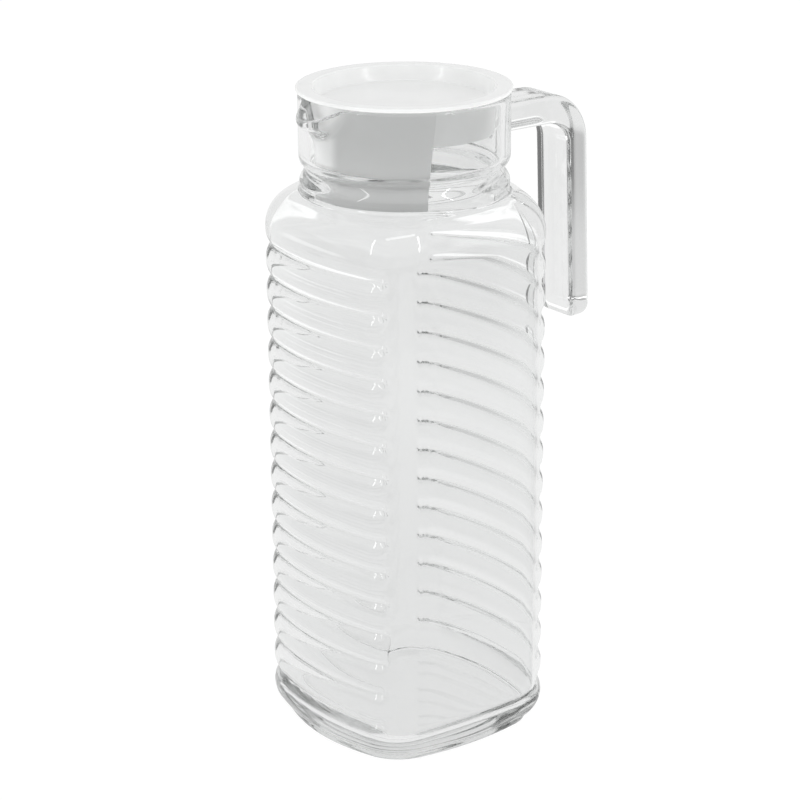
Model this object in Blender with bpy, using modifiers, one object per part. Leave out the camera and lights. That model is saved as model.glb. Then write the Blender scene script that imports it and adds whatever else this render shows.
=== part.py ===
"""Glass water jug: square body ribbed on two faces, round neck with a pouring lip, hook handle, lift-off lid.

The axis of the jug is Z and its foot stands on Z = 0. The handle points to +X and the lip to -X.
"""
import math

import bmesh
import bpy

MM = 0.001

HEIGHT = 250.0 * MM         # foot to the top of the lid

# Body in plan: a rounded square whose faces bow outwards
BODY_HALF_X = 45.3 * MM     # axis to the middle of a ribbed face
BODY_HALF_Y = 44.1 * MM     # axis to the middle of a plain face
BOW_X = 116.0 * MM          # plan radius of the ribbed faces
BOW_Y = 350.0 * MM          # plan radius of the plain faces
CORNER = 19.3 * MM          # plan radius of the upright corners

# Body upwards from the foot
FOOT_HEIGHT = 2.4 * MM
FOOT_INSET = 4.6 * MM
FOOT_ROUND = 0.3            # how far the foot's plan goes from square to round
HEEL_HEIGHT = 8.4 * MM      # rounding between foot and wall
SHOULDER_HEIGHT = 15.2 * MM
SHOULDER_TURN = math.radians(83)
BODY_WALL = 3.0 * MM
BASE_THICKNESS = 7.0 * MM
FLOOR_FILLET = 8.0 * MM

# Ribs on the two X faces: rounded bands parted by narrow grooves
GROOVES = 15
GROOVE_DEPTH = 1.8 * MM
GROOVE_WIDTH = 4.4 * MM
FIRST_GROOVE = 5.8 * MM     # lowest groove above the heel
LAST_GROOVE = 6.6 * MM      # highest groove below the shoulder
RIB_END = (0.30, 0.46)      # where the ribs run out, as shares of the corner's turn
RIB_WRAP = (0.52, 0.62)     # the same on the corners between, where they reach further round

# Neck and collar
COLLAR_RADIUS = 39.1 * MM
WAIST_STEP = 2.6 * MM       # waist in from the collar
BEAD_STEP = 0.25 * MM       # bead in from the collar
BEAD_HEIGHT = 3.8 * MM
WAIST_RISE = 5.3 * MM       # bead to waist
COLLAR_LEDGE = 4.6 * MM     # rounding between waist and collar
COLLAR_HEIGHT = 23.2 * MM
COLLAR_WALL = 3.7 * MM
NECK_WALL = 2.9 * MM
RIM_ROUND = 1.3 * MM

# Pouring lip pinched out of the collar: a round beak in a wider dip of the rim
LIP_REACH = 7.7 * MM
LIP_DEPTH = 12.6 * MM
LIP_DIP = 4.8 * MM
LIP_FULL = 1.2              # how soon above its root the beak reaches all the way out
BEAK_SPAN = math.radians(22)    # half widths of the beak and of the dip, seen from the axis
DIP_SPAN = math.radians(24)

# Handle: a glass strap fused to the collar, free at its lower end
HANDLE_WIDTH = 20.0 * MM
HANDLE_ARM = 11.3 * MM      # thickness of the arm
HANDLE_GRIP = 10.2 * MM     # thickness of the grip
HANDLE_DROP = 9.3 * MM      # rim to the top of the arm
HANDLE_REACH = 41.6 * MM    # collar to the outside of the grip
HANDLE_BEND = 14.0 * MM     # bend radius at mid thickness
HANDLE_LENGTH = 90.5 * MM   # top of the arm to the free end
HANDLE_LEAN = math.radians(1.9)
HANDLE_TIP = 4.6 * MM       # length of the rounded end
HANDLE_EDGE = 2.2 * MM

# Lid: one moulding with a flange, a dished top and a skirt in the collar
CLEARANCE = 0.3 * MM        # between pieces that touch
FLANGE_OVERHANG = 0.7 * MM
FLANGE_THICKNESS = 1.6 * MM
LID_WALL = 1.3 * MM
DISH_DEPTH = 5.7 * MM
DISH_DRAFT = 1.6 * MM
SKIRT_DEPTH = 14.2 * MM     # all round
SHIELD_DEPTH = 37.4 * MM    # tongue that closes the lip
SHIELD_SPAN = (math.radians(71.5), math.radians(66.5))  # half width at its root and tip
SHIELD_STEP = 0.9 * MM      # tongue proud of the rest of the skirt
SKIRT_LAND = 0.6 * MM       # top of the skirt that keeps the tongue's radius

FACE_X, TURN, FACE_Y = 6, 5, 4  # loft stations in a quarter of the plan
ROUND_STEPS = 48

# Radii and heights that follow from the sizes above
WAIST_RADIUS = COLLAR_RADIUS - WAIST_STEP
BEAD_RADIUS = COLLAR_RADIUS - BEAD_STEP
Z_WALL = FOOT_HEIGHT + HEEL_HEIGHT
Z_RIM = HEIGHT - FLANGE_THICKNESS - CLEARANCE
Z_COLLAR = Z_RIM - COLLAR_HEIGHT
Z_WAIST = Z_COLLAR - COLLAR_LEDGE
Z_BEAD = Z_WAIST - WAIST_RISE - BEAD_HEIGHT
Z_SHOULDER = Z_BEAD - SHOULDER_HEIGHT
COLLAR_BORE = COLLAR_RADIUS - COLLAR_WALL
NECK_BORE = WAIST_RADIUS - NECK_WALL


def clear_scene():
    for item in list(bpy.data.objects):
        bpy.data.objects.remove(item, do_unlink=True)


def collection(name):
    group = bpy.data.collections.new(name)
    bpy.context.scene.collection.children.link(group)
    return group


def material(name, colour, roughness, transmission=0.0):
    mat = bpy.data.materials.new(name)
    mat.use_nodes = True
    shader = mat.node_tree.nodes["Principled BSDF"]
    shader.inputs["Base Color"].default_value = (*colour, 1.0)
    shader.inputs["Roughness"].default_value = roughness
    shader.inputs["Metallic"].default_value = 0.0
    shader.inputs["Transmission Weight"].default_value = transmission
    return mat


def add_object(name, mesh, group, mat=None):
    obj = bpy.data.objects.new(name, mesh)
    group.objects.link(obj)
    if mat:
        mesh.materials.append(mat)
    return obj


def smooth(mesh, degrees):
    mesh.shade_smooth()
    mesh.set_sharp_from_angle(angle=math.radians(degrees))


def ease(x):
    x = min(max(x, 0.0), 1.0)
    return x * x * (3 - 2 * x)


def quarter_stations(rib_end):
    """Points of a quarter plan from +X to +Y: (centre x, centre y, radius, direction, rib share)."""
    ax, ay = BODY_HALF_X - BOW_X, BODY_HALF_Y - BOW_Y
    reach_x, reach_y = BOW_X - CORNER, BOW_Y - CORNER
    apart = math.hypot(ax, ay)
    along = (reach_x ** 2 - reach_y ** 2 + apart ** 2) / (2 * apart)
    aside = math.sqrt(reach_x ** 2 - along ** 2)
    cx = ax - along * ax / apart - aside * ay / apart
    cy = along * ay / apart - aside * ax / apart
    start = math.atan2(cy, cx - ax)
    end = math.atan2(cy - ay, cx)
    quarter = [(ax, 0.0, BOW_X, start * (i / FACE_X) ** 1.5, 1.0) for i in range(FACE_X)]
    for i in range(TURN):
        share = i / TURN
        rib = 1 - ease((share - rib_end[0]) / (rib_end[1] - rib_end[0]))
        quarter.append((cx, cy, CORNER, start + (end - start) * share, rib))
    return quarter + [(0.0, ay, BOW_Y, end + (math.pi / 2 - end) * i / FACE_Y, 0.0) for i in range(FACE_Y + 1)]


def stations():
    """Points of the whole plan. Opposite corners are alike, so half of it is turned round the axis."""
    half = quarter_stations(RIB_END)
    half += [(-x, y, r, math.pi - a, rib) for x, y, r, a, rib in quarter_stations(RIB_WRAP)[-2::-1]]
    return half + [(-x, -y, r, a - math.pi, rib) for x, y, r, a, rib in half[1:-1]]


def plan_point(station, inset):
    x, y, radius, angle, _ = station
    return x + (radius - inset) * math.cos(angle), y + (radius - inset) * math.sin(angle)


def lip_at(angle, z):
    """How far the lip leads a point of the collar out and down; the beak widens towards the rim."""
    rise = 1 - (Z_RIM - z) / LIP_DEPTH
    if rise <= 0:
        return 0.0, 0.0
    off = abs(math.remainder(angle - math.pi, 2 * math.pi))
    beak, dip = (math.cos(0.5 * math.pi * min(off / span, 1.0)) ** 2 for span in (BEAK_SPAN * rise ** 0.6, DIP_SPAN))
    return LIP_REACH * ease(LIP_FULL * rise) * beak, LIP_DIP * rise * dip


def shoulder_steps(count):
    """Pairs of (share of the height, share of the way in) along the shoulder's arc."""
    for i in range(1, count + 1):
        turn = SHOULDER_TURN * i / count
        yield math.sin(turn) / math.sin(SHOULDER_TURN), (1 - math.cos(turn)) / (1 - math.cos(SHOULDER_TURN))


def outer_rings():
    """Rings of the outside from the foot to the rim: (height, inset, groove, way to round, radius)."""
    foot = BODY_HALF_Y
    yield 0.0, FOOT_INSET + 0.3 * FOOT_HEIGHT, 0.0, FOOT_ROUND, foot - 0.3 * FOOT_HEIGHT
    yield 0.3 * FOOT_HEIGHT, FOOT_INSET, 0.0, FOOT_ROUND, foot
    yield FOOT_HEIGHT, FOOT_INSET, 0.0, FOOT_ROUND, foot
    for i in range(3):
        turn = math.radians(12 + 26 * i)
        inset = FOOT_INSET * (1 - math.sin(turn))
        yield Z_WALL - HEEL_HEIGHT * math.cos(turn), inset, 0.0, FOOT_ROUND * inset / FOOT_INSET, foot
    low, high = Z_WALL + FIRST_GROOVE, Z_SHOULDER - LAST_GROOVE
    for i in range(GROOVES):
        z = low + (high - low) * i / (GROOVES - 1)
        yield z - 0.5 * GROOVE_WIDTH, 0.0, 0.12 * GROOVE_DEPTH, 0.0, 0.0
        yield z, 0.0, GROOVE_DEPTH, 0.0, 0.0
        yield z + 0.5 * GROOVE_WIDTH, 0.0, 0.12 * GROOVE_DEPTH, 0.0, 0.0
    yield Z_SHOULDER, 0.0, 0.0, 0.0, 0.0
    for rise, share in shoulder_steps(6):
        yield Z_SHOULDER + SHOULDER_HEIGHT * rise, 0.0, 0.0, share, BEAD_RADIUS
    yield Z_BEAD + BEAD_HEIGHT, 0.0, 0.0, 1.0, BEAD_RADIUS
    for i in range(1, 4):
        rise = i / 3
        yield (Z_BEAD + BEAD_HEIGHT + WAIST_RISE * rise, 0.0, 0.0, 1.0,
               BEAD_RADIUS + (WAIST_RADIUS - BEAD_RADIUS) * ease(rise))
    for i in range(1, 5):
        turn = math.radians(22.5 * i)
        yield (Z_WAIST + COLLAR_LEDGE * (0.15 + 0.85 * (1 - math.cos(turn))), 0.0, 0.0, 1.0,
               WAIST_RADIUS + (COLLAR_RADIUS - WAIST_RADIUS) * math.sin(turn))
    for i in range(4):
        yield Z_RIM - LIP_DEPTH * (1 - 0.24 * i), 0.0, 0.0, 1.0, COLLAR_RADIUS
    yield Z_RIM - RIM_ROUND, 0.0, 0.0, 1.0, COLLAR_RADIUS
    yield Z_RIM - 0.3 * RIM_ROUND, 0.0, 0.0, 1.0, COLLAR_RADIUS - 0.3 * RIM_ROUND
    yield Z_RIM, 0.0, 0.0, 1.0, COLLAR_RADIUS - RIM_ROUND


def inner_rings():
    """Rings of the inside from the rim down to the floor, in the same terms."""
    yield Z_RIM, 0.0, 0.0, 1.0, COLLAR_BORE + RIM_ROUND
    yield Z_RIM - 0.3 * RIM_ROUND, 0.0, 0.0, 1.0, COLLAR_BORE + 0.3 * RIM_ROUND
    yield Z_RIM - RIM_ROUND, 0.0, 0.0, 1.0, COLLAR_BORE
    for i in range(4):
        yield Z_RIM - LIP_DEPTH * (0.28 + 0.24 * i), 0.0, 0.0, 1.0, COLLAR_BORE
    yield Z_COLLAR, 0.0, 0.0, 1.0, COLLAR_BORE
    yield Z_WAIST + 0.2 * COLLAR_LEDGE, 0.0, 0.0, 1.0, NECK_BORE
    for rise, share in reversed(list(shoulder_steps(6))):
        yield Z_SHOULDER - BODY_WALL + SHOULDER_HEIGHT * rise, BODY_WALL, 0.0, share, NECK_BORE
    yield Z_SHOULDER - BODY_WALL, BODY_WALL, 0.0, 0.0, 0.0
    for i in range(4):
        turn = math.radians(28 * i)
        yield (BASE_THICKNESS + FLOOR_FILLET * (1 - math.sin(turn)),
               BODY_WALL + FLOOR_FILLET * (1 - math.cos(turn)), 0.0, 0.0, 0.0)
    yield BASE_THICKNESS, BODY_WALL + 1.05 * FLOOR_FILLET, 0.0, 0.0, 0.0


def make_body(group, mat):
    """Loft between the square plan and the round neck, outside and inside joined over the rim."""
    plan = stations()
    bm = bmesh.new()
    rings = []
    for z, inset, groove, way, radius in [*outer_rings(), *inner_rings()]:
        ring = []
        for station in plan:
            x, y = plan_point(station, 0.0)
            angle = math.atan2(y, x)
            x, y = plan_point(station, inset + groove * station[4])
            reach, drop = lip_at(angle, z)
            x += way * ((radius + reach) * math.cos(angle) - x)
            y += way * ((radius + reach) * math.sin(angle) - y)
            ring.append(bm.verts.new((x, y, z - drop)))
        rings.append(ring)
    count = len(plan)
    for low, high in zip(rings, rings[1:]):
        for i in range(count):
            j = (i + 1) % count
            bm.faces.new((low[i], low[j], high[j], high[i]))
    bm.faces.new(rings[0][::-1])
    bm.faces.new(rings[-1])
    mesh = bpy.data.meshes.new("glass_body")
    bm.to_mesh(mesh)
    bm.free()
    smooth(mesh, 35)
    return add_object("glass_body", mesh, group, mat)


def handle_outline():
    """Side view of the strap as (x, z), from inside the collar round the bend to the free end."""
    z_mid = Z_RIM - HANDLE_DROP - 0.5 * HANDLE_ARM
    x_bend = COLLAR_RADIUS + HANDLE_REACH - 0.5 * HANDLE_GRIP - HANDLE_BEND
    z_bend = z_mid - HANDLE_BEND
    path = [(COLLAR_RADIUS - COLLAR_WALL, z_mid, 0.0, HANDLE_ARM), (x_bend, z_mid, 0.0, HANDLE_ARM)]
    last = 0.5 * math.pi - HANDLE_LEAN
    for i in range(1, 8):
        turn = last * i / 7
        path.append((x_bend + HANDLE_BEND * math.sin(turn), z_bend + HANDLE_BEND * math.cos(turn), turn,
                     HANDLE_ARM + (HANDLE_GRIP - HANDLE_ARM) * i / 7))
    x, z = path[-1][:2]
    z_end = Z_RIM - HANDLE_DROP - HANDLE_LENGTH
    run = (z - z_end) / math.sin(last)
    for i in range(6):
        back = HANDLE_TIP * (1 - math.sin(0.5 * math.pi * i / 6))
        thick = HANDLE_GRIP * math.cos(0.5 * math.pi * i / 6) ** 0.6
        path.append((x + (run - back) * math.cos(last), z - (run - back) * math.sin(last), last, thick))
    outer = [(x + 0.5 * t * math.sin(a), z + 0.5 * t * math.cos(a)) for x, z, a, t in path]
    inner = [(x - 0.5 * t * math.sin(a), z - 0.5 * t * math.cos(a)) for x, z, a, t in path]
    tip = [(x + run * math.cos(last), z - run * math.sin(last))]
    return outer + tip + inner[::-1]


def make_handle(group, cutters, mat):
    curve = bpy.data.curves.new("handle_outline", "CURVE")
    curve.dimensions = "2D"
    curve.fill_mode = "BOTH"
    curve.extrude = 0.5 * HANDLE_WIDTH
    points = handle_outline()
    spline = curve.splines.new("POLY")
    spline.points.add(len(points) - 1)
    for point, (x, z) in zip(spline.points, points):
        point.co = (x, z, 0.0, 1.0)
    spline.use_cyclic_u = True
    drawn = bpy.data.objects.new("handle_outline", curve)
    drawn.rotation_euler = (0.5 * math.pi, 0.0, 0.0)
    group.objects.link(drawn)
    bpy.context.view_layer.update()
    evaluated = drawn.evaluated_get(bpy.context.evaluated_depsgraph_get())
    mesh = bpy.data.meshes.new_from_object(evaluated)
    mesh.transform(drawn.matrix_world)
    bpy.data.objects.remove(drawn, do_unlink=True)
    bm = bmesh.new()
    bm.from_mesh(mesh)
    bmesh.ops.remove_doubles(bm, verts=bm.verts, dist=0.00001)
    flat = [e for e in bm.edges if len(e.link_faces) == 2 and e.calc_face_angle() < 0.001]
    bmesh.ops.dissolve_edges(bm, edges=flat, use_verts=False)
    bmesh.ops.recalc_face_normals(bm, faces=bm.faces)
    bm.to_mesh(mesh)
    bm.free()
    handle = add_object("glass_handle", mesh, group, mat)
    edges = handle.modifiers.new("rounded edges", "BEVEL")
    edges.width = HANDLE_EDGE
    edges.segments = 2
    edges.limit_method = "ANGLE"
    edges.angle_limit = math.radians(60)
    seat = handle.modifiers.new("seat on the collar", "BOOLEAN")
    seat.operation = "DIFFERENCE"
    seat.solver = "EXACT"
    seat.object = make_collar_cutter(cutters)
    smooth(mesh, 40)
    return handle


def make_collar_cutter(cutters):
    """Cylinder that shapes the root of the handle to the collar."""
    bm = bmesh.new()
    radius = COLLAR_RADIUS + CLEARANCE
    bmesh.ops.create_cone(bm, cap_ends=True, segments=96, radius1=radius, radius2=radius, depth=4 * HANDLE_ARM)
    mesh = bpy.data.meshes.new("collar_cutter")
    bm.to_mesh(mesh)
    bm.free()
    cutter = add_object("collar_cutter", mesh, cutters)
    cutter.location.z = Z_RIM - HANDLE_DROP - 0.5 * HANDLE_ARM
    cutter.display_type = "WIRE"
    cutter.hide_render = True
    return cutter


def lid_profile():
    """Half section of the lid as (radius, height over the rim's seat), from the dish round to its underside."""
    top = FLANGE_THICKNESS
    floor = top - DISH_DEPTH
    wide = COLLAR_BORE - CLEARANCE
    narrow = NECK_BORE - CLEARANCE
    reach = Z_RIM + CLEARANCE - Z_COLLAR
    flange = COLLAR_RADIUS + FLANGE_OVERHANG
    dish = wide - LID_WALL
    tip = narrow - 0.25 * MM
    edge = 0.35 * FLANGE_THICKNESS
    return [
        (0.0, floor), (dish - DISH_DRAFT - 0.6 * MM, floor), (dish - DISH_DRAFT, floor + 0.5 * MM),
        (dish, top - 0.5 * MM), (dish + 0.5 * MM, top),
        (flange - edge, top), (flange, top - edge), (flange, edge), (flange - edge, 0.0),
        (wide, 0.0), (narrow, -reach), (tip, -SHIELD_DEPTH),
        (tip - LID_WALL, -SHIELD_DEPTH), (narrow - LID_WALL, -reach),
        (dish - DISH_DRAFT - 0.4 * LID_WALL, floor - LID_WALL), (0.0, floor - LID_WALL),
    ]


def make_lid(group, cutters, mat):
    mesh = bpy.data.meshes.new("lid")
    profile = lid_profile()
    mesh.from_pydata([(r, 0.0, z) for r, z in profile], [(i, i + 1) for i in range(len(profile) - 1)], [])
    lid = add_object("lid", mesh, group, mat)
    lid.location.z = Z_RIM + CLEARANCE
    turned = lid.modifiers.new("turned", "SCREW")
    turned.axis = "Z"
    turned.angle = 2 * math.pi
    turned.steps = turned.render_steps = ROUND_STEPS
    turned.use_merge_vertices = True
    turned.merge_threshold = 0.00001
    turned.use_smooth_shade = True
    cut = lid.modifiers.new("skirt cut back", "BOOLEAN")
    cut.operation = "DIFFERENCE"
    cut.solver = "EXACT"
    cut.object = make_skirt_cutter(cutters)
    cut.object.location.z = lid.location.z
    return lid


def make_skirt_cutter(cutters):
    """Drafted sector that thins and shortens the skirt everywhere but on the lip's side."""
    root, tip = SHIELD_SPAN
    wide, narrow = COLLAR_BORE - CLEARANCE, NECK_BORE - CLEARANCE
    taper = (wide - narrow) / (Z_RIM + CLEARANCE - Z_COLLAR)
    far = 1.5 * COLLAR_RADIUS
    section = [(0.0, -SKIRT_DEPTH), (wide - taper * SKIRT_DEPTH - SHIELD_STEP, -SKIRT_DEPTH),
               (wide - taper * SKIRT_LAND - SHIELD_STEP, -SKIRT_LAND), (far, -SKIRT_LAND),
               (far, -SHIELD_DEPTH - SKIRT_DEPTH), (0.0, -SHIELD_DEPTH - SKIRT_DEPTH)]
    steps = ROUND_STEPS
    bm = bmesh.new()
    rows = []
    for radius, z in section:
        open_half = math.pi - root + (tip - root) * z / SHIELD_DEPTH
        angles = [open_half * (2 * i / steps - 1) for i in range(steps + 1)] if radius else [0.0]
        row = [bm.verts.new((radius * math.cos(a), radius * math.sin(a), z)) for a in angles]
        rows.append(row if radius else row * (steps + 1))
    for upper, lower in zip(rows, rows[1:]):
        for i in range(steps):
            corners = dict.fromkeys((upper[i], lower[i], lower[i + 1], upper[i + 1]))
            bm.faces.new(list(corners))
    bm.faces.new([row[0] for row in rows][::-1])
    bm.faces.new([row[-1] for row in rows])
    bmesh.ops.triangulate(bm, faces=bm.faces)
    bmesh.ops.recalc_face_normals(bm, faces=bm.faces)
    mesh = bpy.data.meshes.new("skirt_cutter")
    bm.to_mesh(mesh)
    bm.free()
    cutter = add_object("skirt_cutter", mesh, cutters)
    cutter.display_type = "WIRE"
    cutter.hide_render = True
    return cutter


clear_scene()
jug = collection("lidded_glass_jug")
cutting = collection("cutters")
glass = material("clear_glass", (0.90, 0.92, 0.92), 0.04, transmission=1.0)
handle_glass = material("clear_handle_glass", (0.90, 0.92, 0.92), 0.05, transmission=1.0)
plastic = material("white_plastic", (0.86, 0.87, 0.87), 0.35)
make_body(jug, glass)
make_handle(jug, cutting, handle_glass)
make_lid(jug, cutting, plastic)
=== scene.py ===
import math

import bmesh
import bpy
from mathutils import Matrix, Vector


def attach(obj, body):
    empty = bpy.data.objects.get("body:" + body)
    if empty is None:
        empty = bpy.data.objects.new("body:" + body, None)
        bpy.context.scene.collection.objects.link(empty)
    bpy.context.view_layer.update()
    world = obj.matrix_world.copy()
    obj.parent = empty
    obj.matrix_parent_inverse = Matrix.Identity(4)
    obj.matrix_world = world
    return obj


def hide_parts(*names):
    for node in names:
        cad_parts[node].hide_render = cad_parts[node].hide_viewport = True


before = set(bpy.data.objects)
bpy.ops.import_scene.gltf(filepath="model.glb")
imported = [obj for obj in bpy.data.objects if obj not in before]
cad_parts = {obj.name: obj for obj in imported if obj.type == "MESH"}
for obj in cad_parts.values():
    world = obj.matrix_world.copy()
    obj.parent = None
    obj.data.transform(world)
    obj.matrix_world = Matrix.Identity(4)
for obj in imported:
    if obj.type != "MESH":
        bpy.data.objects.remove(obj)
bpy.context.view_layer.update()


# Glass of the jug
# Clear soda glass, fire-polished once it is shaped. It is nearly colourless, takes
# a little grey in the thick handle and foot, and keeps a faint mould ripple.

GLASS_TINT = (0.972, 0.976, 0.975)
GLASS_TINT_WORN = (0.960, 0.965, 0.963)
GLASS_INDEX = 1.5
GLASS_GREY = (0.42, 0.44, 0.43)
GLASS_GREY_DENSITY = 4.0
RIPPLE_SCALE, RIPPLE_BUMP, RIPPLE_HEIGHT = 45.0, 0.03, 0.001
SMEAR_SCALE, SMEAR_SHOWS = 160.0, (0.45, 0.75)


class Shade:
    """A shader socket. Arithmetic on it adds Math nodes, and node() adds any other kind."""

    def __init__(self, tree, socket=None):
        self.tree, self.socket = tree, socket

    def node(self, kind, settings=None, inputs=None):
        made = self.tree.nodes.new("ShaderNode" + kind)
        for name, value in (settings or {}).items():
            setattr(made, name, value)
        for name, value in (inputs or {}).items():
            if isinstance(value, Shade):
                self.tree.links.new(value.socket, made.inputs[name])
            else:
                made.inputs[name].default_value = value
        first = [s for s in made.outputs if s.enabled]
        return Shade(self.tree, first[0] if first else None)

    def __getitem__(self, name):
        return Shade(self.tree, self.socket.node.outputs[name])

    def math(self, operation, a, b=0.0, c=0.0):
        return self.node("Math", {"operation": operation}, {0: a, 1: b, 2: c})

    def __add__(self, other):
        return self.math("ADD", self, other)

    __radd__ = __add__

    def __sub__(self, other):
        return self.math("SUBTRACT", self, other)

    def __rsub__(self, other):
        return self.math("SUBTRACT", other, self)

    def __mul__(self, other):
        return self.math("MULTIPLY", self, other)

    __rmul__ = __mul__

    def __truediv__(self, other):
        return self.math("DIVIDE", self, other)

    def __gt__(self, other):
        return self.math("GREATER_THAN", self, other)

    def __lt__(self, other):
        return self.math("LESS_THAN", self, other)

    def eased(self, low, high):
        """0 below low, 1 above high, smooth between them."""
        return self.node("MapRange", {"interpolation_type": "SMOOTHSTEP"},
                         {"Value": self, "From Min": low, "From Max": high})


def new_material(name):
    material = bpy.data.materials.new(name)
    material.use_nodes = True
    material.node_tree.nodes.clear()
    return material, Shade(material.node_tree)


clear_glass, shade = new_material("clear_glass")
place = shade.node("TexCoord")["Object"]
ripple = shade.node("TexNoise", None, {
    "Vector": place, "Scale": RIPPLE_SCALE, "Detail": 1.0, "Roughness": 0.4})
smear = shade.node("TexNoise", None, {
    "Vector": place, "Scale": SMEAR_SCALE, "Detail": 3.0, "Roughness": 0.6})
tint = shade.node("Mix", {"data_type": "RGBA"}, {
    "Factor": smear["Fac"].eased(*SMEAR_SHOWS), "A": (*GLASS_TINT, 1.0), "B": (*GLASS_TINT_WORN, 1.0)})
relief = shade.node("Bump", None, {
    "Strength": RIPPLE_BUMP, "Distance": RIPPLE_HEIGHT, "Height": ripple["Fac"]})
surface = shade.node("BsdfPrincipled", None, {
    "Base Color": tint, "Roughness": 0.0, "IOR": GLASS_INDEX, "Transmission Weight": 1.0,
    "Normal": relief})
depth = shade.node("VolumeAbsorption", None, {
    "Color": (*GLASS_GREY, 1.0), "Density": GLASS_GREY_DENSITY})
shade.node("OutputMaterial", None, {"Surface": surface, "Volume": depth})


# Jug body
# One blown wall: a square body with bowed faces, ribbed on the two X faces, that
# closes into a round neck with a bead, a waist and a collar with a pouring lip.

MM = 0.001
BODY_HALF_X, BODY_HALF_Y = 45.3 * MM, 44.1 * MM
BOW_X, BOW_Y, CORNER = 116.0 * MM, 350.0 * MM, 19.3 * MM
BODY_WALL, BASE_THICKNESS, FLOOR_FILLET = 3.0 * MM, 7.0 * MM, 8.0 * MM
FLOOR_RINGS = 0.6 * MM, 2 * MM, 8 * MM
FOOT_INSET, FOOT_EDGE, FOOT_ROUND = 4.6 * MM, 0.7 * MM, 0.3
FOOT_RINGS, FOOT_SIDE = (12 * MM, 6 * MM, 1.2 * MM, 0.4 * MM), (1.5 * MM, 2.0 * MM, 2.25 * MM)
HEEL_HEIGHT = 8.4 * MM
Z_WALL, Z_SHOULDER, Z_BEAD = 10.8 * MM, 196.0 * MM, 211.2 * MM
SHOULDER_TURN = math.radians(83)
GROOVES, GROOVE_DEPTH = 15, 1.8 * MM
Z_GROOVES = 16.6 * MM, 189.4 * MM
GROOVE_RINGS, GROOVE_CROWD = 7, 1.3
RIB_CROWN, GROOVE_ROUND = 2.6, 0.06
RIB_END, RIB_WRAP = (0.30, 0.44), (0.54, 0.68)
CORNER_FROM, CORNER_TO, FACE_CROWD = 0.36, 0.76, 1.6
BEAD_RADIUS, BEAD_HEIGHT = 38.85 * MM, 3.8 * MM
BEAD_RINGS = 0.4 * MM, 0.9 * MM, 1.6 * MM, 2.4 * MM, 3.2 * MM
WAIST_RADIUS, Z_WAIST, Z_NECK = 36.5 * MM, 220.3 * MM, 221.2 * MM
LEDGE_START = 0.15
COLLAR_RADIUS, COLLAR_BORE, NECK_BORE = 39.1 * MM, 35.4 * MM, 33.6 * MM
Z_COLLAR, Z_RIM, RIM_ROUND = 224.9 * MM, 248.1 * MM, 1.3 * MM
LIP_REACH, LIP_DEPTH, LIP_DIP, LIP_FULL = 7.7 * MM, 12.6 * MM, 4.8 * MM, 1.2
BEAK_SPAN, BEAK_FLARE, DIP_SPAN = math.radians(22), 0.6, math.radians(24)
SOFT_BELOW, SOFT_ABOVE, SOFT_REACH, SOFT_ROUNDS = 6 * MM, 2.6 * MM, 40.5 * MM, 8
EDGE_STEPS, HEEL_STEPS, SHOULDER_STEPS, WAIST_STEPS = 6, 18, 28, 12
COLLAR_STEPS, NECK_STEPS, WALL_STEPS, FILLET_STEPS = 18, 10, 36, 16
SPIN_STEPS, RING_GAP, MERGE = 192, 0.3 * MM, 0.000002


def ease(x):
    x = min(max(x, 0.0), 1.0)
    return x * x * (3 - 2 * x)


def on_line(x, *knots):
    """Value at x, straight between the knots (x, value)."""
    for (a, b), (c, d) in zip(knots, knots[1:]):
        if x <= c or (c, d) == knots[-1]:
            return b + (d - b) * (x - a) / (c - a)


def turns(count, last=0.5 * math.pi):
    """Angles of a quarter arc from 0 to last."""
    return [last * i / count for i in range(count + 1)]


def between(first, last, count):
    """Evenly spaced values from first to last, without these two."""
    return [first + (last - first) * i / count for i in range(1, count)]


def groove_at(z):
    """Share of the groove's depth at a height: narrow cuts between crowned ribs."""
    pitch = (Z_GROOVES[1] - Z_GROOVES[0]) / (GROOVES - 1)
    nearest = min(max(round((z - Z_GROOVES[0]) / pitch), 0), GROOVES - 1)
    off = abs(z - Z_GROOVES[0] - nearest * pitch) / (0.5 * pitch)
    off = math.hypot(off, GROOVE_ROUND) - GROOVE_ROUND
    return max(1 - off, 0.0) ** RIB_CROWN


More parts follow.
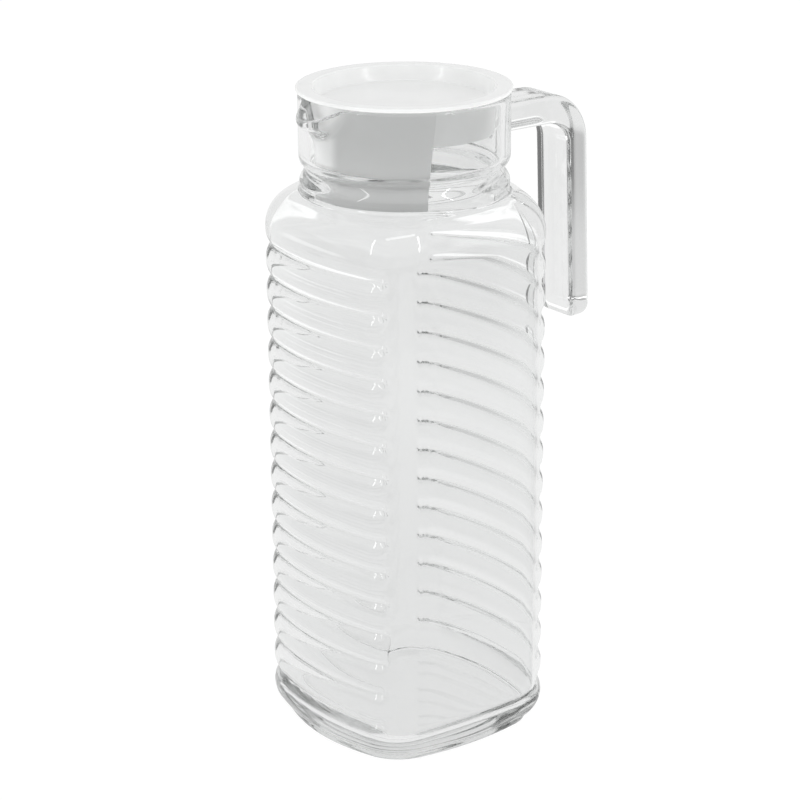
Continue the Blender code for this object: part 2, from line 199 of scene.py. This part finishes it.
def body_rings():
    """Rings from under the foot over the rim to the floor.

    Each is (height, inset, groove, way to round, radius).
    """
    rings = [(0.0, 0.0, 0.0, 1.0, 0.0)]
    foot = BODY_HALF_Y
    for d in FOOT_RINGS:
        rings.append((0.0, FOOT_INSET + FOOT_EDGE + d, 0.0, FOOT_ROUND, foot - FOOT_EDGE - d))
    for t in turns(EDGE_STEPS):
        d = FOOT_EDGE * (1 - math.sin(t))
        rings.append((FOOT_EDGE * (1 - math.cos(t)), FOOT_INSET + d, 0.0, FOOT_ROUND, foot - d))
    rings += [(z, FOOT_INSET, 0.0, FOOT_ROUND, foot) for z in FOOT_SIDE]
    for t in turns(HEEL_STEPS):
        inset = FOOT_INSET * (1 - math.sin(t))
        z = Z_WALL - HEEL_HEIGHT * math.cos(t)
        rings.append((z, inset, 0.0, FOOT_ROUND * inset / FOOT_INSET, foot))
    pitch = (Z_GROOVES[1] - Z_GROOVES[0]) / (GROOVES - 1)
    for i in range(GROOVES):
        for k in range(-GROOVE_RINGS, GROOVE_RINGS + 1):
            off = (abs(k) / (GROOVE_RINGS + 0.5)) ** GROOVE_CROWD
            z = Z_GROOVES[0] + pitch * (i + 0.5 * math.copysign(off, k))
            if Z_WALL + RING_GAP < z < Z_SHOULDER - RING_GAP:
                rings.append((z, 0.0, GROOVE_DEPTH * groove_at(z), 0.0, 0.0))
    for t in turns(SHOULDER_STEPS, SHOULDER_TURN):
        share = (1 - math.cos(t)) / (1 - math.cos(SHOULDER_TURN))
        z = Z_SHOULDER + (Z_BEAD - Z_SHOULDER) * math.sin(t) / math.sin(SHOULDER_TURN)
        rings.append((z, 0.0, 0.0, share, BEAD_RADIUS))
    rings += [(Z_BEAD + d, 0.0, 0.0, 1.0, BEAD_RADIUS) for d in BEAD_RINGS]
    z_top = Z_BEAD + BEAD_HEIGHT
    for i in range(WAIST_STEPS + 1):
        radius = BEAD_RADIUS + (WAIST_RADIUS - BEAD_RADIUS) * ease(i / WAIST_STEPS)
        rings.append((z_top + (Z_WAIST - z_top) * i / WAIST_STEPS, 0.0, 0.0, 1.0, radius))
    for t in turns(WAIST_STEPS):
        share = LEDGE_START + (1 - LEDGE_START) * (1 - math.cos(t))
        rings.append((Z_WAIST + (Z_COLLAR - Z_WAIST) * share, 0.0, 0.0, 1.0,
                      WAIST_RADIUS + (COLLAR_RADIUS - WAIST_RADIUS) * math.sin(t)))
    low, high = Z_COLLAR, Z_RIM - RIM_ROUND
    rings += [(z, 0.0, 0.0, 1.0, COLLAR_RADIUS) for z in between(low, high, COLLAR_STEPS)]
    for t in turns(EDGE_STEPS):
        rings.append((Z_RIM - RIM_ROUND * (1 - math.sin(t)), 0.0, 0.0, 1.0,
                      COLLAR_RADIUS - RIM_ROUND * (1 - math.cos(t))))
    for t in turns(EDGE_STEPS)[::-1]:
        rings.append((Z_RIM - RIM_ROUND * (1 - math.sin(t)), 0.0, 0.0, 1.0,
                      COLLAR_BORE + RIM_ROUND * (1 - math.cos(t))))
    rings += [(z, 0.0, 0.0, 1.0, COLLAR_BORE) for z in between(high, low, COLLAR_STEPS)]
    for i in range(WAIST_STEPS + 1):
        rings.append((Z_COLLAR + (Z_NECK - Z_COLLAR) * i / WAIST_STEPS, 0.0, 0.0, 1.0,
                      COLLAR_BORE + (NECK_BORE - COLLAR_BORE) * ease(i / WAIST_STEPS)))
    z_inner = Z_BEAD - BODY_WALL
    rings += [(z, 0.0, 0.0, 1.0, NECK_BORE) for z in between(Z_NECK, z_inner, NECK_STEPS)]
    for t in turns(SHOULDER_STEPS, SHOULDER_TURN)[::-1]:
        share = (1 - math.cos(t)) / (1 - math.cos(SHOULDER_TURN))
        z = (Z_SHOULDER - BODY_WALL
             + (Z_BEAD - Z_SHOULDER) * math.sin(t) / math.sin(SHOULDER_TURN))
        rings.append((z, BODY_WALL, 0.0, share, NECK_BORE))
    low, high = BASE_THICKNESS + FLOOR_FILLET, Z_SHOULDER - BODY_WALL
    rings += [(z, BODY_WALL, 0.0, 0.0, 0.0) for z in between(high, low, WALL_STEPS)]
    for t in turns(FILLET_STEPS):
        inset = BODY_WALL + FLOOR_FILLET * (1 - math.cos(t))
        rings.append((low - FLOOR_FILLET * math.sin(t), inset, 0.0, 0.0, 0.0))
    for d in FLOOR_RINGS:
        rings.append((BASE_THICKNESS, BODY_WALL + FLOOR_FILLET + d, 0.0, 0.0, 0.0))
    rings.append((BASE_THICKNESS, 0.0, 0.0, 1.0, 0.0))
    return rings


def square_plan():
    """Middle of the corner's arc, and the directions in which it starts and ends."""
    ax, ay = BODY_HALF_X - BOW_X, BODY_HALF_Y - BOW_Y
    reach_x, reach_y = BOW_X - CORNER, BOW_Y - CORNER
    apart = math.hypot(ax, ay)
    along = (reach_x ** 2 - reach_y ** 2 + apart ** 2) / (2 * apart)
    aside = math.sqrt(reach_x ** 2 - along ** 2)
    cx = ax - along * ax / apart - aside * ay / apart
    cy = along * ay / apart - aside * ax / apart
    return (cx, cy), math.atan2(cy, cx - ax), math.atan2(cy - ay, cx)


corner_at, corner_start, corner_end = square_plan()


def plan_arc(turn):
    """Arc of the square plan at a spin angle: (centre, radius, direction, rib share)."""
    q = math.atan2(abs(math.sin(turn)), abs(math.cos(turn))) / (0.5 * math.pi)
    if q < CORNER_FROM:
        centre, radius, rib = (BODY_HALF_X - BOW_X, 0.0), BOW_X, 1.0
        angle = corner_start * (q / CORNER_FROM) ** FACE_CROWD
    elif q < CORNER_TO:
        share = (q - CORNER_FROM) / (CORNER_TO - CORNER_FROM)
        first, last = RIB_END if math.sin(2 * turn) > 0 else RIB_WRAP
        centre, radius = corner_at, CORNER
        angle = corner_start + (corner_end - corner_start) * share
        rib = 1 - ease((share - first) / (last - first))
    else:
        centre, radius, rib = (0.0, BODY_HALF_Y - BOW_Y), BOW_Y, 0.0
        angle = corner_end + (0.5 * math.pi - corner_end) * (q - CORNER_TO) / (1 - CORNER_TO)
    return centre, radius, angle, rib


def lip_at(angle, z):
    """How far the lip leads a point of the collar out and down.

    The beak widens towards the rim.
    """
    rise = 1 - (Z_RIM - z) / LIP_DEPTH
    if rise <= 0:
        return 0.0, 0.0
    off = abs(math.remainder(angle - math.pi, 2 * math.pi))
    beak, dip = (math.cos(0.5 * math.pi * min(off / span, 1.0)) ** 2
                 for span in (BEAK_SPAN * rise ** BEAK_FLARE, DIP_SPAN))
    return LIP_REACH * ease(LIP_FULL * rise) * beak, LIP_DIP * rise * dip


def spun_ladder(count, steps):
    """Rings of a unit cylinder, one for each whole height, to be drawn to their own sizes."""
    bm = bmesh.new()
    rail = [bm.verts.new((1.0, 0.0, float(i))) for i in range(count)]
    sides = [bm.edges.new(pair) for pair in zip(rail, rail[1:])]
    bmesh.ops.spin(bm, geom=rail + sides, cent=(0, 0, 0), axis=(0, 0, 1), angle=2 * math.pi,
                   steps=steps, use_merge=True)
    return bm


def to_object(name, bm, material):
    mesh = bpy.data.meshes.new(name)
    bm.to_mesh(mesh)
    bm.free()
    mesh.materials.append(material)
    mesh.shade_smooth()
    made = bpy.data.objects.new(name, mesh)
    bpy.context.scene.collection.objects.link(made)
    return made


rings = body_rings()
bm = spun_ladder(len(rings), SPIN_STEPS)
for v in bm.verts:
    z, inset, groove, way, radius = rings[round(v.co.z)]
    turn = math.atan2(v.co.y, v.co.x)
    (cx, cy), bow, angle, rib = plan_arc(turn)
    sx, sy = math.copysign(1, math.cos(turn)), math.copysign(1, math.sin(turn))
    polar = math.atan2(sy * (cy + bow * math.sin(angle)), sx * (cx + bow * math.cos(angle)))
    x = sx * (cx + (bow - inset - groove * rib) * math.cos(angle))
    y = sy * (cy + (bow - inset - groove * rib) * math.sin(angle))
    reach, drop = lip_at(polar, z)
    if way:
        x += way * ((radius + reach) * math.cos(polar) - x)
        y += way * ((radius + reach) * math.sin(polar) - y)
    v.co = x, y, z - drop
bmesh.ops.remove_doubles(bm, verts=bm.verts, dist=MERGE)
bmesh.ops.recalc_face_normals(bm, faces=bm.faces)
neck_root = [v for v in bm.verts if Z_BEAD - SOFT_BELOW < v.co.z < Z_BEAD + SOFT_ABOVE
             and math.hypot(v.co.x, v.co.y) < SOFT_REACH]
for _ in range(SOFT_ROUNDS):
    bmesh.ops.smooth_vert(bm, verts=neck_root, factor=0.5,
                          use_axis_x=True, use_axis_y=True, use_axis_z=True)
jug = to_object("jug_glass", bm, clear_glass)


# Handle
# A glass strap pressed on to the collar while hot: an arm, a bend and a grip that
# hangs free. It is joined to the body into one piece of glass.

HANDLE_WIDTH, HANDLE_EDGE = 20.0 * MM, 2.2 * MM
HANDLE_ARM, HANDLE_GRIP = 11.3 * MM, 10.2 * MM
HANDLE_TOP, HANDLE_END = 238.8 * MM, 148.3 * MM
HANDLE_REACH = 80.7 * MM
HANDLE_BEND, HANDLE_LEAN = 14.0 * MM, math.radians(1.9)
HANDLE_TIP, TIP_FLAT, TIP_BLUNT = 5.2 * MM, 0.65, 0.8
TIP_SWEEP = math.radians(88)
BEND_STEPS, GRIP_STEPS, TIP_STEPS = 20, 12, 12
ROUND_SEGMENTS, FLAT_FROM, FLAT_CUTS = 8, 4 * MM, 5
HANDLE_ROOT = ((37.0, 3.0), (38.6, 2.2), (39.4, 1.5), (40.2, 0.9), (41.2, 0.4),
               (42.6, 0.1), (44.5, 0.0), (48.0, 0.0), (54.0, 0.0))


def handle_path():
    """Stations along the strap: (x, z, turn, thickness, width)."""
    z_mid = HANDLE_TOP - 0.5 * HANDLE_ARM
    x_bend = HANDLE_REACH - 0.5 * HANDLE_GRIP - HANDLE_BEND
    path = []
    for x, flare in HANDLE_ROOT:
        path.append((x * MM, z_mid, 0.0, HANDLE_ARM + flare * MM, HANDLE_WIDTH + flare * MM))
    last = 0.5 * math.pi - HANDLE_LEAN
    for t in turns(BEND_STEPS, last):
        thick = HANDLE_ARM + (HANDLE_GRIP - HANDLE_ARM) * t / last
        path.append((x_bend + HANDLE_BEND * math.sin(t),
                     z_mid - HANDLE_BEND + HANDLE_BEND * math.cos(t), t, thick, HANDLE_WIDTH))
    x, z = path[-1][:2]
    run = (z - HANDLE_END) / math.sin(last)
    straight = run - HANDLE_TIP
    path += [(x + d * math.cos(last), z - d * math.sin(last), last, HANDLE_GRIP, HANDLE_WIDTH)
             for d in between(0.0, straight, GRIP_STEPS)]
    for t in turns(TIP_STEPS, TIP_SWEEP):
        d = straight + HANDLE_TIP * math.sin(t)
        path.append((x + d * math.cos(last), z - d * math.sin(last), last,
                     HANDLE_GRIP * math.cos(t) ** TIP_FLAT,
                     HANDLE_WIDTH - 2 * HANDLE_TIP * (1 - math.cos(t) ** TIP_BLUNT)))
    return path


def station_frame(x, z, turn, thick, width):
    """Stands a unit section across the strap."""
    return Matrix(((0.0, thick * math.sin(turn), math.cos(turn), x), (width, 0.0, 0.0, 0.0),
                   (0.0, thick * math.cos(turn), -math.sin(turn), z), (0.0, 0.0, 0.0, 1.0)))


bm = bmesh.new()
corners = [bm.verts.new((0.5 * a * HANDLE_WIDTH, 0.5 * b * HANDLE_GRIP, 0.0))
           for a, b in ((-1, -1), (1, -1), (1, 1), (-1, 1))]
bm.faces.new(corners)
bmesh.ops.bevel(bm, geom=corners, offset=HANDLE_EDGE, offset_type="OFFSET", affect="VERTICES",
                segments=ROUND_SEGMENTS, profile=0.5, material=-1)
flats = [e for e in bm.edges if e.calc_length() > FLAT_FROM]
bmesh.ops.subdivide_edges(bm, edges=flats, cuts=FLAT_CUTS)
bmesh.ops.scale(bm, verts=bm.verts, vec=(1 / HANDLE_WIDTH, 1 / HANDLE_GRIP, 1.0))
section = bm.faces[:][0]
path = [station_frame(*station) for station in handle_path()]
bmesh.ops.transform(bm, matrix=path[0], verts=bm.verts)
for i, (here, there) in enumerate(zip(path, path[1:])):
    made = bmesh.ops.extrude_face_region(bm, geom=[section])["geom"]
    if i:
        bmesh.ops.delete(bm, geom=[section], context="FACES_ONLY")
    section = next(g for g in made if isinstance(g, bmesh.types.BMFace))
    bmesh.ops.transform(bm, matrix=there @ here.inverted(), verts=section.verts)
bmesh.ops.recalc_face_normals(bm, faces=bm.faces)
strap = to_object("handle_strap", bm, clear_glass)

union = jug.modifiers.new("handle", "BOOLEAN")
union.operation, union.solver, union.object = "UNION", "EXACT", strap
bpy.context.view_layer.update()
fused = bpy.data.meshes.new_from_object(jug.evaluated_get(bpy.context.evaluated_depsgraph_get()))
jug.modifiers.clear()
jug.data = fused
bpy.data.objects.remove(strap, do_unlink=True)
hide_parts("glass_body", "glass_handle")
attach(jug, "jug")


# Lid
# A white injection moulding: a flange on the rim, a dished top to grip, and a
# skirt in the collar with a long tongue that shuts the lip.

LID_SEAT = 248.4 * MM
FLANGE_RADIUS, FLANGE_THICKNESS, FLANGE_EDGE = 39.8 * MM, 1.6 * MM, 0.6 * MM
SKIRT_RADIUS, SKIRT_NECK, SKIRT_TIP = 35.1 * MM, 33.3 * MM, 33.05 * MM
SKIRT_REACH = 23.5 * MM
LID_WALL = 1.3 * MM
UNDER_RADIUS = 31.7 * MM
DISH_RADIUS, DISH_DRAFT, DISH_DEPTH, DISH_FILLET = 33.8 * MM, 1.6 * MM, 5.7 * MM, 0.9 * MM
SKIRT_DEPTH, TONGUE_DEPTH = 14.2 * MM, 37.4 * MM
TONGUE_SPAN, TONGUE_STEP = (math.radians(71.5), math.radians(66.5)), 0.9 * MM
SKIRT_LAND = 0.6 * MM
TONGUE_MID, TONGUE_TAPER = 34.14 * MM, 0.05
DISH_RINGS, DISH_WALL = (20 * MM, 6 * MM, 2.4 * MM, 1.4 * MM), (0.2, 0.5, 0.8, 0.9)
DISH_SWEEP, DISH_STEPS = math.radians(73), 5
DISH_EDGE, RIM_RINGS = 0.6 * MM, (1.2 * MM, 3.2 * MM)
SEAT_RINGS = 1.0 * MM, 0.35 * MM
SKIRT_OUTSIDE = (0.012, 0.04, 0.05, 0.1, 0.2, 0.3, 0.4, 0.5, 0.6, 0.7, 0.8, 0.9, 0.96, 0.985, 0.996)
SKIRT_INSIDE = 0.996, 0.985, 0.96, 0.9, 0.8, 0.6, 0.4, 0.2, 0.0
UNDER_EDGE, UNDER_RINGS = 0.4 * MM, (1.2 * MM, 4 * MM, 16 * MM)
LID_STEPS, EDGE_STEP, EDGE_GAP = 240, 47, 0.006
SHARP_FROM = math.radians(40)
CLOUD_SCALE, CLOUD_SHOWS = 60.0, (0.35, 0.7)
GRAIN_SCALE, GRAIN_BUMP, GRAIN_HEIGHT = 2600.0, 0.06, 0.0002
ROUGH_LEAST, ROUGH_CLOUD, ROUGH_GRAIN = 0.10, 0.10, 0.04
LID_INDEX = 1.49
LID_WHITE = (0.83, 0.835, 0.832)
LID_WHITE_DULL = (0.80, 0.806, 0.802)
# The tongue's greyer white is painted shade: the tongue gets less light in the collar than the thin
# skirt beside it, and this greyer colour stands in for that.
LID_TONGUE_PAINTED_SHADE = (0.74, 0.745, 0.742)

white_plastic, shade = new_material("white_plastic")
place = shade.node("TexCoord")["Object"]
cloud = shade.node("TexNoise", None, {
    "Vector": place, "Scale": CLOUD_SCALE, "Detail": 3.0, "Roughness": 0.55})
grain = shade.node("TexNoise", None, {
    "Vector": place, "Scale": GRAIN_SCALE, "Detail": 2.0, "Roughness": 0.6})
tone = shade.node("Mix", {"data_type": "RGBA"}, {
    "Factor": cloud["Fac"].eased(*CLOUD_SHOWS), "A": (*LID_WHITE, 1.0), "B": (*LID_WHITE_DULL, 1.0)})
# Painted shade: the mask below picks out the tongue's outer face under the land and mixes the greyer
# white in there.
part = shade.node("SeparateXYZ", None, {"Vector": place})
below = LID_SEAT - part["Z"]
edge = SKIRT_RADIUS * math.cos(TONGUE_SPAN[0])
slant = (SKIRT_TIP * math.cos(TONGUE_SPAN[1]) - edge) / TONGUE_DEPTH
from_axis = shade.math("SQRT", part["X"] * part["X"] + part["Y"] * part["Y"])
outside = from_axis > TONGUE_MID - TONGUE_TAPER * below
tongue_shade_mask = (part["X"] + slant * below < -edge) * outside * (below > SKIRT_LAND)
tone = shade.node("Mix", {"data_type": "RGBA"}, {
    "Factor": tongue_shade_mask, "A": tone, "B": (*LID_TONGUE_PAINTED_SHADE, 1.0)})
roughness = ROUGH_LEAST + ROUGH_CLOUD * cloud["Fac"] + ROUGH_GRAIN * grain["Fac"]
relief = shade.node("Bump", None, {
    "Strength": GRAIN_BUMP, "Distance": GRAIN_HEIGHT, "Height": grain["Fac"]})
surface = shade.node("BsdfPrincipled", None, {
    "Base Color": tone, "Roughness": roughness, "IOR": LID_INDEX, "Normal": relief})
shade.node("OutputMaterial", None, {"Surface": surface})


def lid_rings():
    """Rings from the dish over the flange, down the skirt and back under the dish.

    Each is (radius, height over the seat), or (side, share of the depth) on the skirt.
    """
    top, floor = FLANGE_THICKNESS, FLANGE_THICKNESS - DISH_DEPTH
    low = DISH_RADIUS - DISH_DRAFT
    rings = [(0.0, floor)] + [(low - d, floor) for d in DISH_RINGS]
    for t in turns(DISH_STEPS, DISH_SWEEP):
        rings.append((low - DISH_FILLET + DISH_FILLET * math.sin(t),
                      floor + DISH_FILLET * (1 - math.cos(t))))
    rings += [(low + DISH_DRAFT * s, floor + DISH_DEPTH * s) for s in DISH_WALL]
    for t in turns(DISH_STEPS):
        rings.append((DISH_RADIUS + DISH_EDGE * (1 - math.cos(t)), top - DISH_EDGE * (1 - math.sin(t))))
    rings += [(DISH_RADIUS + d, top) for d in RIM_RINGS]
    edge = FLANGE_EDGE
    for t in turns(EDGE_STEPS):
        rings.append((FLANGE_RADIUS - edge * (1 - math.sin(t)), top - edge * (1 - math.cos(t))))
    for t in turns(EDGE_STEPS):
        rings.append((FLANGE_RADIUS - edge * (1 - math.cos(t)), edge * (1 - math.sin(t))))
    rings.append((FLANGE_RADIUS - 2 * edge, 0.0))
    rings += [(SKIRT_RADIUS + d, 0.0) for d in SEAT_RINGS]
    rings += [("out", s) for s in SKIRT_OUTSIDE]
    rings.append(("tip", 1.0))
    rings += [("in", s) for s in SKIRT_INSIDE]
    under = floor - LID_WALL
    rings.append((low - UNDER_EDGE, under + UNDER_EDGE))
    rings += [(low - d, under) for d in UNDER_RINGS]
    rings.append((0.0, under))
    return rings


def lid_turn(turn, z):
    """Spin angle moved so that a column stands on either side of the tongue's slanting edges."""
    off = math.remainder(turn - math.pi, 2 * math.pi)
    step = 2 * math.pi / LID_STEPS
    edge = TONGUE_SPAN[0] + (TONGUE_SPAN[1] - TONGUE_SPAN[0]) * -z / TONGUE_DEPTH
    knots = ((0.0, 0.0), (EDGE_STEP * step, edge),
             ((EDGE_STEP + 1) * step, edge + EDGE_GAP), (math.pi, math.pi))
    return math.pi + math.copysign(on_line(abs(off), *knots), off)


rings = lid_rings()
bm = spun_ladder(len(rings), LID_STEPS)
for v in bm.verts:
    first, second = rings[round(v.co.z)]
    turn = math.atan2(v.co.y, v.co.x)
    off = abs(math.remainder(turn - math.pi, 2 * math.pi))
    on_tongue = off < (EDGE_STEP + 0.5) * 2 * math.pi / LID_STEPS
    if isinstance(first, str):
        depth = TONGUE_DEPTH if on_tongue else SKIRT_DEPTH
        root = {"out": 0.0, "tip": 0.0, "in": 0.5 * SKIRT_DEPTH}[first]
        z = -root - (depth - root) * second
        outside = on_line(-z, (0.0, SKIRT_RADIUS), (SKIRT_REACH, SKIRT_NECK),
                          (TONGUE_DEPTH, SKIRT_TIP))
        inside = on_line(-z, (0.0, UNDER_RADIUS), (SKIRT_REACH, SKIRT_NECK - LID_WALL),
                         (TONGUE_DEPTH, SKIRT_TIP - LID_WALL))
        if not on_tongue and z < -SKIRT_LAND:
            outside -= TONGUE_STEP
        radius = {"out": outside, "tip": 0.5 * (outside + inside), "in": inside}[first]
        turn = lid_turn(turn, z)
    else:
        radius, z = first, second
        turn = lid_turn(turn, 0.0)
    v.co = radius * math.cos(turn), radius * math.sin(turn), LID_SEAT + z
bmesh.ops.remove_doubles(bm, verts=bm.verts, dist=MERGE)
bmesh.ops.recalc_face_normals(bm, faces=bm.faces)
lid = to_object("lid_moulding", bm, white_plastic)
lid.data.set_sharp_from_angle(angle=SHARP_FROM)
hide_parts("lid")
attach(lid, "lid")


# Floor and room
# A pale table in a white studio. Through the glass the eye meets a white room with a
# brighter band behind. The room that the glass mirrors is dim in front and bright on
# the left, and the lid is lit mostly from low down at the sides.

CAMERA_TURN = math.radians(-127.15)
TABLE_HALF, TABLE_DROP = 6.0, 0.3 * MM
TABLE_WHITE, TABLE_MATT, TABLE_GLOW, TABLE_SHADOW = 0.96, 0.07, 0.06, 0.10
ROOM_WHITE, ROOM_NEAR, ROOM_DIM, ROOM_LEFT, BACKDROP = 0.84, 0.60, 0.08, 1.90, 1.20
LIT_HIGH, LIT_FRONT, LIT_SIDE, LIT_LOW = 0.77, 1.10, 2.10, 1.40

# Where a level starts and ends to change: on the way from behind to the front (-1 to 1),
# in metres from the axis, or with the height of the direction (0 level, 1 straight up).
NEAR_FRONT, NEAR_AWAY = (-0.60, -0.10), (0.10, 0.25)
DIM_FRONT, DIM_AWAY = (-0.45, 0.0), (0.46, 0.62)
LEFT_SIDE, LEFT_FRONT, LEFT_BACK = (0.0, 0.3), (0.05, 0.20), (-0.60, -0.35)
LEFT_NEAR, LEFT_FAR = (0.80, 0.88), (1.06, 1.16)
SHADOW_AWAY = 0.15, 0.45
SKY_FRONT, SKY_RISE = (-0.09, 0.29), (0.1, 0.3)
BAND_LOW, BAND_HIGH, HORIZON = (0.015, 0.07), (0.16, 0.26), (0.0, 0.05)
LIT_AHEAD, LIT_RISE = (0.55, 0.90), (0.1, 0.5)
OFF_AXIS = 0.0001


def sight(shade):
    """Masks of the rays: straight from the camera, through the glass, mirrored, and lighting."""
    path = shade.node("LightPath")
    lit = path["Diffuse Depth"] > 0.5
    mirrored = (path["Glossy Depth"] > 0.5) * (1 - lit)
    through = path["Is Transmission Ray"] * (1 - mirrored) * (1 - lit)
    return path["Is Camera Ray"], through, mirrored, lit


def room_front(shade, x, y):
    """How far a place lies in front of the jug, 1 in front and -1 behind, and its way from the axis."""
    length = shade.math("SQRT", x * x + y * y) + OFF_AXIS
    return (x * math.cos(CAMERA_TURN) + y * math.sin(CAMERA_TURN)) / length, length


floor_white, shade = new_material("table_white")
direct, through, mirrored, lit = sight(shade)
place = shade.node("SeparateXYZ", None, {"Vector": shade.node("TexCoord")["Object"]})
front, away = room_front(shade, place["X"], place["Y"])
room = ROOM_WHITE + (ROOM_NEAR - ROOM_WHITE) * front.eased(*NEAR_FRONT) * away.eased(*NEAR_AWAY)
room = room + (ROOM_DIM - room) * front.eased(*DIM_FRONT) * away.eased(*DIM_AWAY)
left = (place["X"] * math.sin(CAMERA_TURN) - place["Y"] * math.cos(CAMERA_TURN)) / away
window = left.eased(*LEFT_SIDE) * (1 - front.eased(*LEFT_FRONT)) * front.eased(*LEFT_BACK)
window = window * away.eased(*LEFT_NEAR) * (1 - away.eased(*LEFT_FAR))
room = room + (ROOM_LEFT - room) * window
shadow = 1 - TABLE_SHADOW + TABLE_SHADOW * away.eased(*SHADOW_AWAY)
level = direct * TABLE_WHITE + through * ROOM_WHITE * shadow + mirrored * room + lit * LIT_LOW
glow = shade.node("Emission", None, {"Color": (1.0, 1.0, 1.0, 1.0), "Strength": level})
matt = shade.node("BsdfDiffuse", None, {"Color": (TABLE_MATT, TABLE_MATT, TABLE_MATT, 1.0)})
both = shade.node("AddShader", None, {0: glow, 1: matt})
shade.node("OutputMaterial", None, {"Surface": both})

bm = bmesh.new()
bmesh.ops.create_grid(bm, x_segments=2, y_segments=2, size=TABLE_HALF)
bmesh.ops.translate(bm, verts=bm.verts, vec=(0.0, 0.0, -TABLE_DROP))
table = to_object("table", bm, floor_white)

world = bpy.data.worlds.new("studio")
bpy.context.scene.world = world
world.use_nodes = True
world.node_tree.nodes.clear()
shade = Shade(world.node_tree)
direct, through, mirrored, lit = sight(shade)
heading = shade.node("SeparateXYZ", None, {"Vector": shade.node("TexCoord")["Generated"]})
x, y, z = heading["X"], heading["Y"], heading["Z"]
front, _ = room_front(shade, x, y)
room = ROOM_WHITE + (ROOM_DIM - ROOM_WHITE) * front.eased(*SKY_FRONT) * (1 - z.eased(*SKY_RISE))
behind = ROOM_WHITE + (BACKDROP - ROOM_WHITE) * z.eased(*BAND_LOW) * (1 - z.eased(*BAND_HIGH))
beyond = TABLE_GLOW * (1 - z.eased(*HORIZON))
lighting = LIT_SIDE + (LIT_FRONT - LIT_SIDE) * front.eased(*LIT_AHEAD)
lighting = lighting + (LIT_HIGH - lighting) * z.eased(*LIT_RISE)
level = direct + through * (behind + beyond) + mirrored * (room + beyond) + lit * lighting
sky = shade.node("Background", None, {"Color": (1.0, 1.0, 1.0, 1.0), "Strength": level})
shade.node("OutputWorld", None, {"Surface": sky})


# Lamps
# Two narrow upright boxes stand left and right of the camera, and a wide one hangs in
# front of the jug. The glass shows them as its thin bright lines.

LAMP_AIM = Vector((0.0, 0.0, 0.2))


def soft_box(name, turn, rise, away, width, height, watts):
    """A box lamp: degrees to the right of the camera and above the table, then metres and watts."""
    lamp = bpy.data.lights.new(name, "AREA")
    lamp.shape, lamp.size, lamp.size_y, lamp.energy = "RECTANGLE", width, height, watts
    made = bpy.data.objects.new(name, lamp)
    polar, rise = CAMERA_TURN + math.radians(turn), math.radians(rise)
    out = Vector((math.cos(polar) * math.cos(rise), math.sin(polar) * math.cos(rise), math.sin(rise)))
    made.location = LAMP_AIM + away * out
    made.rotation_euler = (made.location - LAMP_AIM).to_track_quat("Z", "Y").to_euler()
    made.visible_camera = made.visible_transmission = False
    bpy.context.scene.collection.objects.link(made)


soft_box("left_strip", turn=-50, rise=28, away=1.3, width=0.06, height=0.9, watts=1.2)
soft_box("right_strip", turn=52, rise=28, away=1.3, width=0.06, height=0.9, watts=1.6)
soft_box("front_box", turn=12, rise=62, away=1.2, width=0.9, height=0.14, watts=1.45)


# Camera
# A long lens from above the corner between the lip and a plain face. Light goes round
# many times inside the thick glass of the foot and the handle before it leaves.

CAMERA_AT = Vector((-0.58754, -0.77525, 0.46891))
CAMERA_AIM = Vector((0.0, 0.0, 0.125))
CAMERA_ROLL = math.radians(-0.284)
SENSOR_WIDTH, FOCAL_LENGTH = 36.0, 122.34
FRAME_SHIFT, CLIP_RANGE = (-0.00725, 0.00989), (0.05, 50.0)
GLASS_BOUNCES = 64

lens = bpy.data.cameras.new("camera")
lens.sensor_width, lens.lens = SENSOR_WIDTH, FOCAL_LENGTH
lens.shift_x, lens.shift_y = FRAME_SHIFT
lens.clip_start, lens.clip_end = CLIP_RANGE
camera = bpy.data.objects.new("camera", lens)
look = (CAMERA_AT - CAMERA_AIM).to_track_quat("Z", "Y").to_matrix().to_4x4()
camera.matrix_world = Matrix.Translation(CAMERA_AT) @ look @ Matrix.Rotation(CAMERA_ROLL, 4, "Z")
bpy.context.scene.collection.objects.link(camera)
bpy.context.scene.camera = camera
bpy.context.scene.view_settings.view_transform = "Standard"
cycles = bpy.context.scene.cycles
cycles.max_bounces = cycles.transmission_bounces = cycles.glossy_bounces = GLASS_BOUNCES
